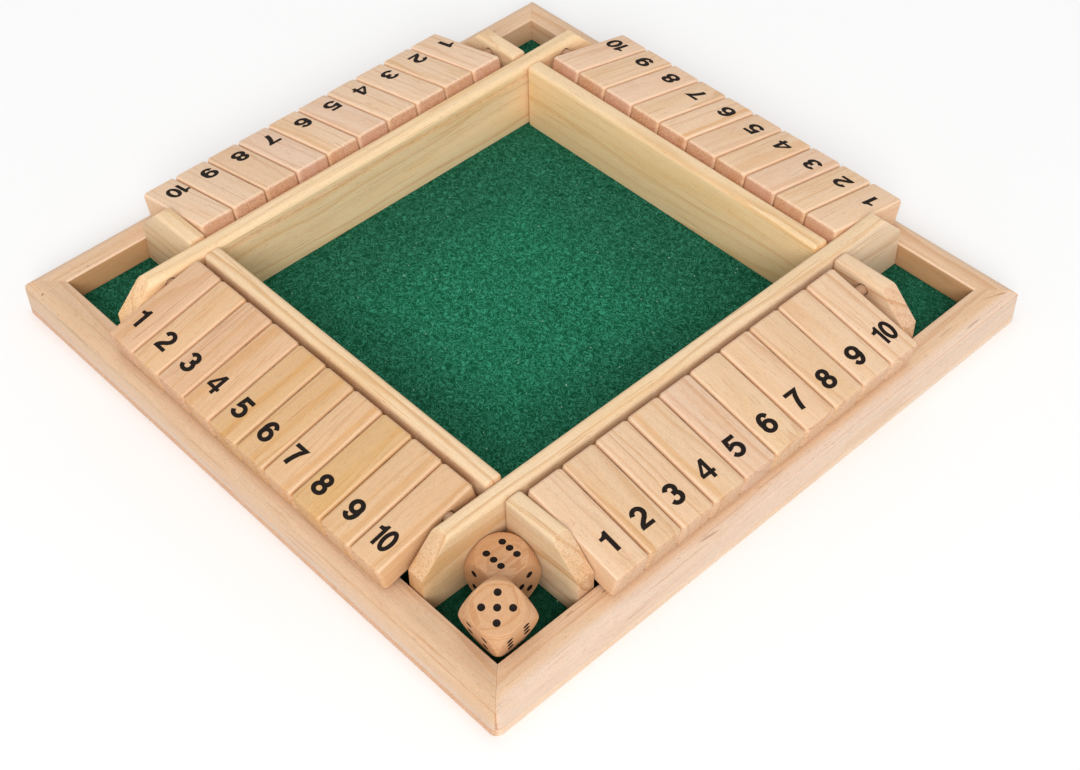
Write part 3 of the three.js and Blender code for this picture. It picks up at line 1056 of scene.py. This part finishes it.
def outline(points, closed):
    """The two sides of a stroke along points, thicker where it runs upright."""
    count = len(points)
    left, right = [], []
    for index, here in enumerate(points):
        before = points[index - 1] if closed or index else here
        after = points[(index + 1) % count] if closed or index < count - 1 else here
        ways = [
            Vector((end[0] - start[0], end[1] - start[1])).normalized()
            for start, end in ((before, here), (here, after)) if start != end
        ]
        way = sum(ways, Vector((0, 0))).normalized()
        normal = Vector((-way.y, way.x))
        thick = math.hypot(UPRIGHT * normal.x, LEVEL * normal.y) / 2
        thick /= max(normal.dot(Vector((-ways[0].y, ways[0].x))), 0.6)
        left.append((here[0] + normal.x * thick, here[1] + normal.y * thick))
        right.append((here[0] - normal.x * thick, here[1] - normal.y * thick))
    return left, right


def flat_shape(name, loops):
    """A closed flat shape from its outline and holes, as a mesh."""
    data = bpy.data.curves.new(name, "CURVE")
    data.dimensions = "2D"
    data.fill_mode = "BOTH"
    data.extrude = HALF_DEPTH
    for loop in loops:
        spline = data.splines.new("POLY")
        spline.points.add(len(loop) - 1)
        for point, (x, y) in zip(spline.points, loop):
            point.co = (x, y, 0, 1)
        spline.use_cyclic_u = True
    alone(link(bpy.data.objects.new(name, data)))
    bpy.ops.object.convert(target="MESH")
    return smooth(bpy.context.active_object, 30)


def digit(character):
    """One digit about its own middle, in millimetres. Half its depth is to be in the wood."""
    if character == "9":
        piece = digit("6")
        piece.data.transform(Matrix.Rotation(math.pi, 4, "Z"))
        return piece
    piece = None
    for kind, points, *holes in DIGITS[character]:
        loops = [points, *holes]
        if kind != "filled":
            left, right = outline(points, kind == "ring")
            loops = [left, right] if kind == "ring" else [left + right[::-1]]
        stroke = flat_shape(f"stroke_{character}", loops)
        piece = combine(piece, stroke, "UNION") if piece else stroke
    return piece


def tile_numbers(sizes, colours):
    """Printed numbers 1 to 10 on every row, upright for the player outside."""
    scale = sizes.digit_height / DIGIT_HIGH
    digits = {character: digit(character) for character in "0123456789"}
    ink = known("black_ink", ink_finish, colours.ink)
    draw = random.Random(7)
    for side, number, label in each_tile():
        sideways, outward = NUMBER_PLACES_MM[side][number - 1]
        middle = (sideways * MM, sizes.rod_from_end - NUMBER_FROM_END - outward * MM, sizes.rod_below_top)
        tilt = Matrix.Rotation(draw.uniform(-0.012, 0.012), 4, "Z")
        on_tile = tile_place(side, label, sizes) @ Matrix.Translation(middle) @ tilt
        if number < 10:
            layout, narrow = [(str(number), ONE_PLACE if number == 1 else 0)], 1
        else:
            layout, narrow = zip(str(number), PAIR_PLACES), PAIR_NARROW
        size = Matrix.Diagonal((narrow * scale, scale, scale, 1))
        prints = []
        for character, place in layout:
            spot = on_tile @ Matrix.Translation((place * scale, 0, 0)) @ size
            prints.append(copy_to(digits[character], f"print_{label}", spot))
        printed = join(prints)
        paint(printed, ink)
        hand_over(printed, f"flap_{label}", "ink")
    for piece in digits.values():
        bpy.data.objects.remove(piece)


# ---------------------------------------------------------------- dice

PIPS = {
    1: [(0, 0)],
    2: [(-1, 1), (1, -1)],
    3: [(-1, 1), (0, 0), (1, -1)],
    4: [(-1, -1), (-1, 1), (1, -1), (1, 1)],
    5: [(-1, -1), (-1, 1), (0, 0), (1, -1), (1, 1)],
    6: [(-1, -1), (-1, 0), (-1, 1), (1, -1), (1, 0), (1, 1)],
}

# Each die's body, and its faces: outward direction, the pips' first and second direction, and their number
DICE = {
    "die_1": ("die_flat", [
        (Z, X, Y, 6), (-Z, X, Y, 1), (-X, Y, Z, 4), (X, Y, Z, 3), (-Y, X, Z, 5), (Y, X, Z, 2),
    ]),
    "die_2": ("die_leaning", [
        (Z, X, Y, 5), (-Z, X, Y, 2), (-Y, X, Z, 6), (Y, X, Z, 1), (-X, Y, Z, 4), (X, Y, Z, 3),
    ]),
}


def ball(name, segments, rings, radius, place=(0, 0, 0)):
    """Adds a ball."""
    make = bpy.ops.mesh.primitive_uv_sphere_add
    return settle(added(make, name, segments=segments, ring_count=rings, radius=radius, location=place))


def wooden_dice(sizes, colours):
    """Two dice: a ball cut flat on six sides, with round dimples for pips."""
    half = sizes.die / 2
    master = ball("die_blank", 72, 48, sizes.die_ball / 2)
    for way in (X, -X, Y, -Y, Z, -Z):
        slice_off(master, way * half, way)
    ease(master, segments=3, angle=18)
    die_wood = known("die_wood", wood, colours.die_wood, 0.85, 0.95, (1.0, 0.97, 0.95))
    ink = known("pip_ink", ink_finish, colours.ink)

    pip_ball = ((sizes.pip / 2) ** 2 + PIP_DEPTH**2) / (2 * PIP_DEPTH)
    leans = {"die_1": STAY, "die_2": Matrix.Rotation(sizes.die_lean, 4, Vector((1, -1, 0)))}
    for index, (node, (body, faces)) in enumerate(DICE.items()):
        die = copy_to(master, f"wooden_{node}")
        spots = [
            out * (half + pip_ball - PIP_DEPTH) + (first * one + second * two) * sizes.pip_spacing
            for out, first, second, count in faces
            for one, two in PIPS[count]
        ]
        cutter = join([ball("pip", 24, 24, pip_ball, spot) for spot in spots])
        for piece in (die, cutter):
            paint(piece, die_wood, ink)
        for face in cutter.data.polygons:
            face.material_index = 1
        combine(die, cutter, "DIFFERENCE")
        smooth(die, 30)
        give_grain(die, X, 300 + index, heart=(80, 100), flat=True, dome=0.03)
        give_tone(die)
        low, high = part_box(node)
        die.data.transform(Matrix.Translation((low + high) / 2) @ leans[node])
        hand_over(die, body, "die", node)
    bpy.data.objects.remove(master)


# ---------------------------------------------------------------- stage

# The camera's turns in radians, azimuth from the front, and its place in its own turned frame
CAMERA_AZIMUTH = -0.743664309
CAMERA_ELEVATION = 0.813033367
CAMERA_ROLL = -0.0198479487
CAMERA_PLACE_MM = (6.86834489, -22.2743205, 562.222316)
FOCAL_PIXELS = 1783.63339
PHOTO_WIDTH = 1080
SENSOR = 36.0

# The soft square lights: place, side and power
LIGHTS = {
    "key_light": ((-1.70, -1.85, 1.75), 1.6, 56),
    "top_light": ((0.3, 0.5, 2.2), 1.2, 5),
}
SKY_STRENGTH = 0.62
FLOOR_TINT = (0.97, 0.97, 0.97)


def photo_stage():
    """Pale floor, soft light and the camera at the photograph's place."""
    floor = added(bpy.ops.mesh.primitive_plane_add, "studio_floor", size=8)
    paint(floor, known("pale_floor", floor_finish, FLOOR_TINT))

    scene = bpy.context.scene
    scene.view_settings.view_transform = "Standard"
    scene.world = scene.world or bpy.data.worlds.new("studio")
    scene.world.use_nodes = True
    sky = scene.world.node_tree.nodes["Background"]
    sky.inputs["Color"].default_value = (1, 1, 1, 1)
    sky.inputs["Strength"].default_value = SKY_STRENGTH
    for name, (place, side, power) in LIGHTS.items():
        data = bpy.data.lights.new(name, "AREA")
        data.shape = "SQUARE"
        data.size = side
        data.energy = power
        lamp = link(bpy.data.objects.new(name, data))
        lamp.location = place
        lamp.rotation_euler = (-Vector(place)).to_track_quat("-Z", "Y").to_euler()

    turns = ((CAMERA_AZIMUTH, "Z"), (math.pi / 2 - CAMERA_ELEVATION, "X"), (CAMERA_ROLL, "Z"))
    azimuth, elevation, roll = (Matrix.Rotation(angle, 4, axis) for angle, axis in turns)
    data = bpy.data.cameras.new("photo_camera")
    data.sensor_fit = "HORIZONTAL"
    data.sensor_width = SENSOR
    data.lens = FOCAL_PIXELS / PHOTO_WIDTH * SENSOR
    data.clip_start = 0.01
    camera = link(bpy.data.objects.new("photo_camera", data))
    camera.matrix_world = azimuth @ elevation @ roll @ Matrix.Translation(Vector(CAMERA_PLACE_MM) * MM)
    scene.camera = camera


# ---------------------------------------------------------------- operators and panel


def build(step, context):
    """Runs one step with the scene's sizes and colours."""
    step(context.scene.game_sizes, context.scene.game_colours)
    return {"FINISHED"}


class FLAPGAME_OT_base_and_felt(Operator):
    """Makes the base panel and the felt on it."""

    bl_idname = "flapgame.base_and_felt"
    bl_label = "Base and felt"

    def execute(self, context):
        return build(base_and_felt, context)


class FLAPGAME_OT_frame_rails(Operator):
    """Makes the four mitred rails."""

    bl_idname = "flapgame.frame_rails"
    bl_label = "Frame rails"

    def execute(self, context):
        return build(frame_rails, context)


class FLAPGAME_OT_inner_boards(Operator):
    """Makes the boards round the tray and by the corner pockets."""

    bl_idname = "flapgame.inner_boards"
    bl_label = "Inner boards"

    def execute(self, context):
        return build(inner_boards, context)


class FLAPGAME_OT_dowel_rods(Operator):
    """Makes the rods that the tiles turn on."""

    bl_idname = "flapgame.dowel_rods"
    bl_label = "Dowel rods"

    def execute(self, context):
        return build(dowel_rods, context)


class FLAPGAME_OT_number_tiles(Operator):
    """Makes the forty tiles."""

    bl_idname = "flapgame.number_tiles"
    bl_label = "Number tiles"

    def execute(self, context):
        return build(number_tiles, context)


class FLAPGAME_OT_tile_numbers(Operator):
    """Prints the numbers on the tiles."""

    bl_idname = "flapgame.tile_numbers"
    bl_label = "Printed numbers"

    def execute(self, context):
        return build(tile_numbers, context)


class FLAPGAME_OT_wooden_dice(Operator):
    """Makes the two dice."""

    bl_idname = "flapgame.wooden_dice"
    bl_label = "Wooden dice"

    def execute(self, context):
        return build(wooden_dice, context)


class FLAPGAME_OT_photo_stage(Operator):
    """Sets up the floor, the light and the camera."""

    bl_idname = "flapgame.photo_stage"
    bl_label = "Stage"

    def execute(self, context):
        photo_stage()
        return {"FINISHED"}


OPERATORS = (
    FLAPGAME_OT_base_and_felt,
    FLAPGAME_OT_frame_rails,
    FLAPGAME_OT_inner_boards,
    FLAPGAME_OT_dowel_rods,
    FLAPGAME_OT_number_tiles,
    FLAPGAME_OT_tile_numbers,
    FLAPGAME_OT_wooden_dice,
    FLAPGAME_OT_photo_stage,
)


class FLAPGAME_PT_panel(Panel):
    """Lists the steps that build the game."""

    bl_idname = "FLAPGAME_PT_panel"
    bl_label = "Flap game"
    bl_space_type = "VIEW_3D"
    bl_region_type = "UI"
    bl_category = "Flap game"

    def draw(self, context):
        for operator in OPERATORS:
            self.layout.operator(operator.bl_idname)


CLASSES = (GameSizes, GameColours, *OPERATORS, FLAPGAME_PT_panel)


def register():
    """Adds the classes and the two groups of settings."""
    for one in CLASSES:
        bpy.utils.register_class(one)
    bpy.types.Scene.game_sizes = PointerProperty(type=GameSizes)
    bpy.types.Scene.game_colours = PointerProperty(type=GameColours)


def unregister():
    """Takes the classes and settings away again."""
    del bpy.types.Scene.game_colours
    del bpy.types.Scene.game_sizes
    for one in reversed(CLASSES):
        bpy.utils.unregister_class(one)


def main():
    """Registers the add-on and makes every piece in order."""
    register()
    for operator in OPERATORS:
        family, step = operator.bl_idname.split(".")
        getattr(getattr(bpy.ops, family), step)()


if __name__ == "__main__":
    main()
